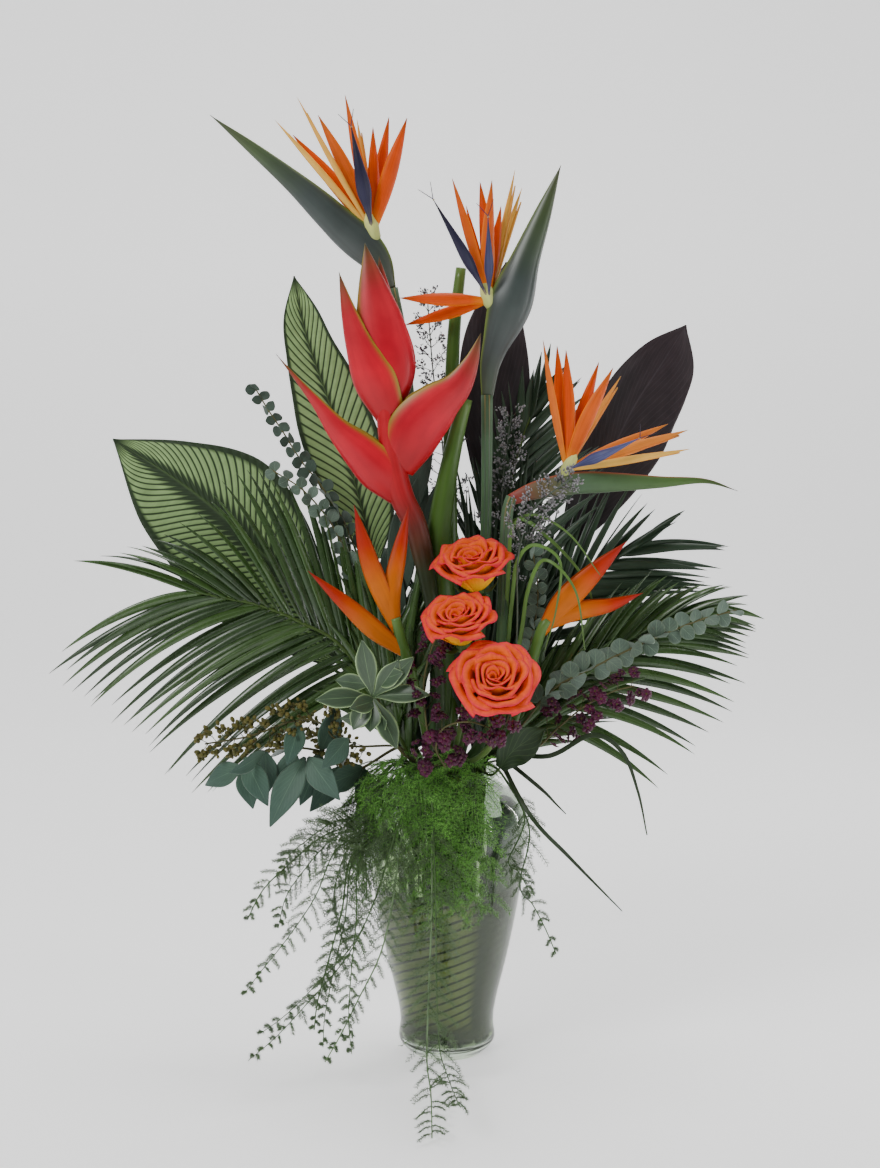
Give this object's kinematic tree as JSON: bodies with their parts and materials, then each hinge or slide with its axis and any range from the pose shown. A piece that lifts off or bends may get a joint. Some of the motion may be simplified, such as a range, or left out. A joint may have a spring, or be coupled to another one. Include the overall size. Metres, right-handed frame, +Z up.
{
  "type": "bird of paradise flower arrangement",
  "caption": "Tall tropical arrangement in a clear glass vase: bird of paradise blooms, heliconia, roses, palm and patterned leaves, with trailing fern.",
  "frame": {"origin": "centre of the underside of the vase's foot", "axes": "+Z up; the arrangement faces -Y; +X is to its right as seen from the front"},
  "size_m": [0.6829, 0.3565, 0.9135],
  "materials": {
    "vase_glass": "clear, glossy",
    "water_clear": "clear, glossy",
    "liner_stripes": "satin leaf with narrow stripes",
    "spathe_green": "satin slate green",
    "sepal_orange": "soft orange petal",
    "tongue_blue": "soft dark blue petal",
    "heliconia_red": "waxy red bract",
    "heliconia_orange": "waxy orange bract",
    "stalk_green": "smooth green stalk",
    "rose_coral": "velvety coral petal",
    "rose_stem": "matt green stem",
    "calathea_green": "satin striped leaf",
    "ti_dark": "glossy near black leaf",
    "leaf_green": "glossy dark leaf",
    "palm_green": "satin green leaflets",
    "palm_dark": "satin dark leaflets",
    "eucalyptus_silver": "matt silver green leaf",
    "eucalyptus_dark": "matt dark green leaf",
    "eucalyptus_blue": "matt blue green leaf",
    "seed_gold": "matt golden green seed",
    "limonium_grey": "matt grey small flower",
    "limonium_white": "matt white and pink small flower",
    "wax_purple": "matt purple small flower",
    "pittosporum_green": "satin leaf with a cream margin",
    "fern_green": "soft feathery green",
    "grass_green": "satin grass blade"
  },
  "bodies": {
    "root": {"vase": "vase_glass", "water": "water_clear", "liner_leaf": "liner_stripes", "bird_1_spathe": "spathe_green", "bird_1_sepals": "sepal_orange", "bird_1_tongue_1": "tongue_blue", "bird_2_spathe": "spathe_green", "bird_2_sepals": "sepal_orange", "bird_2_tongue_1": "tongue_blue", "bird_2_tongue_2": "tongue_blue", "bird_3_spathe": "spathe_green", "bird_3_sepals": "sepal_orange", "bird_3_tongue_1": "tongue_blue", "heliconia": "heliconia_red", "stalk_slim": "stalk_green", "stalk_fat": "stalk_green", "heliconia_left": "heliconia_orange", "heliconia_right": "heliconia_orange", "rose_upper_bloom": "rose_coral", "rose_upper_stem": "rose_stem", "rose_middle_bloom": "rose_coral", "rose_middle_stem": "rose_stem", "rose_lower_bloom": "rose_coral", "rose_lower_stem": "rose_stem", "calathea_left": "calathea_green", "calathea_upper": "calathea_green", "ti_leaf_right": "ti_dark", "ti_leaf_middle": "ti_dark", "fern_left": "fern_green", "fern_drop": "fern_green", "fern_middle": "fern_green", "fern_front": "fern_green", "fern_right": "fern_green", "salal_leaf": "leaf_green", "pittosporum": "pittosporum_green", "eucalyptus_right": "eucalyptus_silver", "eucalyptus_dark": "eucalyptus_dark", "eucalyptus_silver": "eucalyptus_silver", "eucalyptus_middle": "eucalyptus_silver", "seeded_leaves": "eucalyptus_blue", "seeded_twig": "seed_gold", "palm_left": "palm_green", "palm_right": "palm_green", "palm_back": "palm_dark", "palm_low": "palm_dark", "limonium_left": "limonium_grey", "limonium_right": "limonium_white", "wax_white": "limonium_white", "wax_left": "wax_purple", "wax_middle": "wax_purple", "wax_right": "wax_purple", "grass_a": "grass_green", "grass_c": "grass_green"}
  },
  "joints": []
}
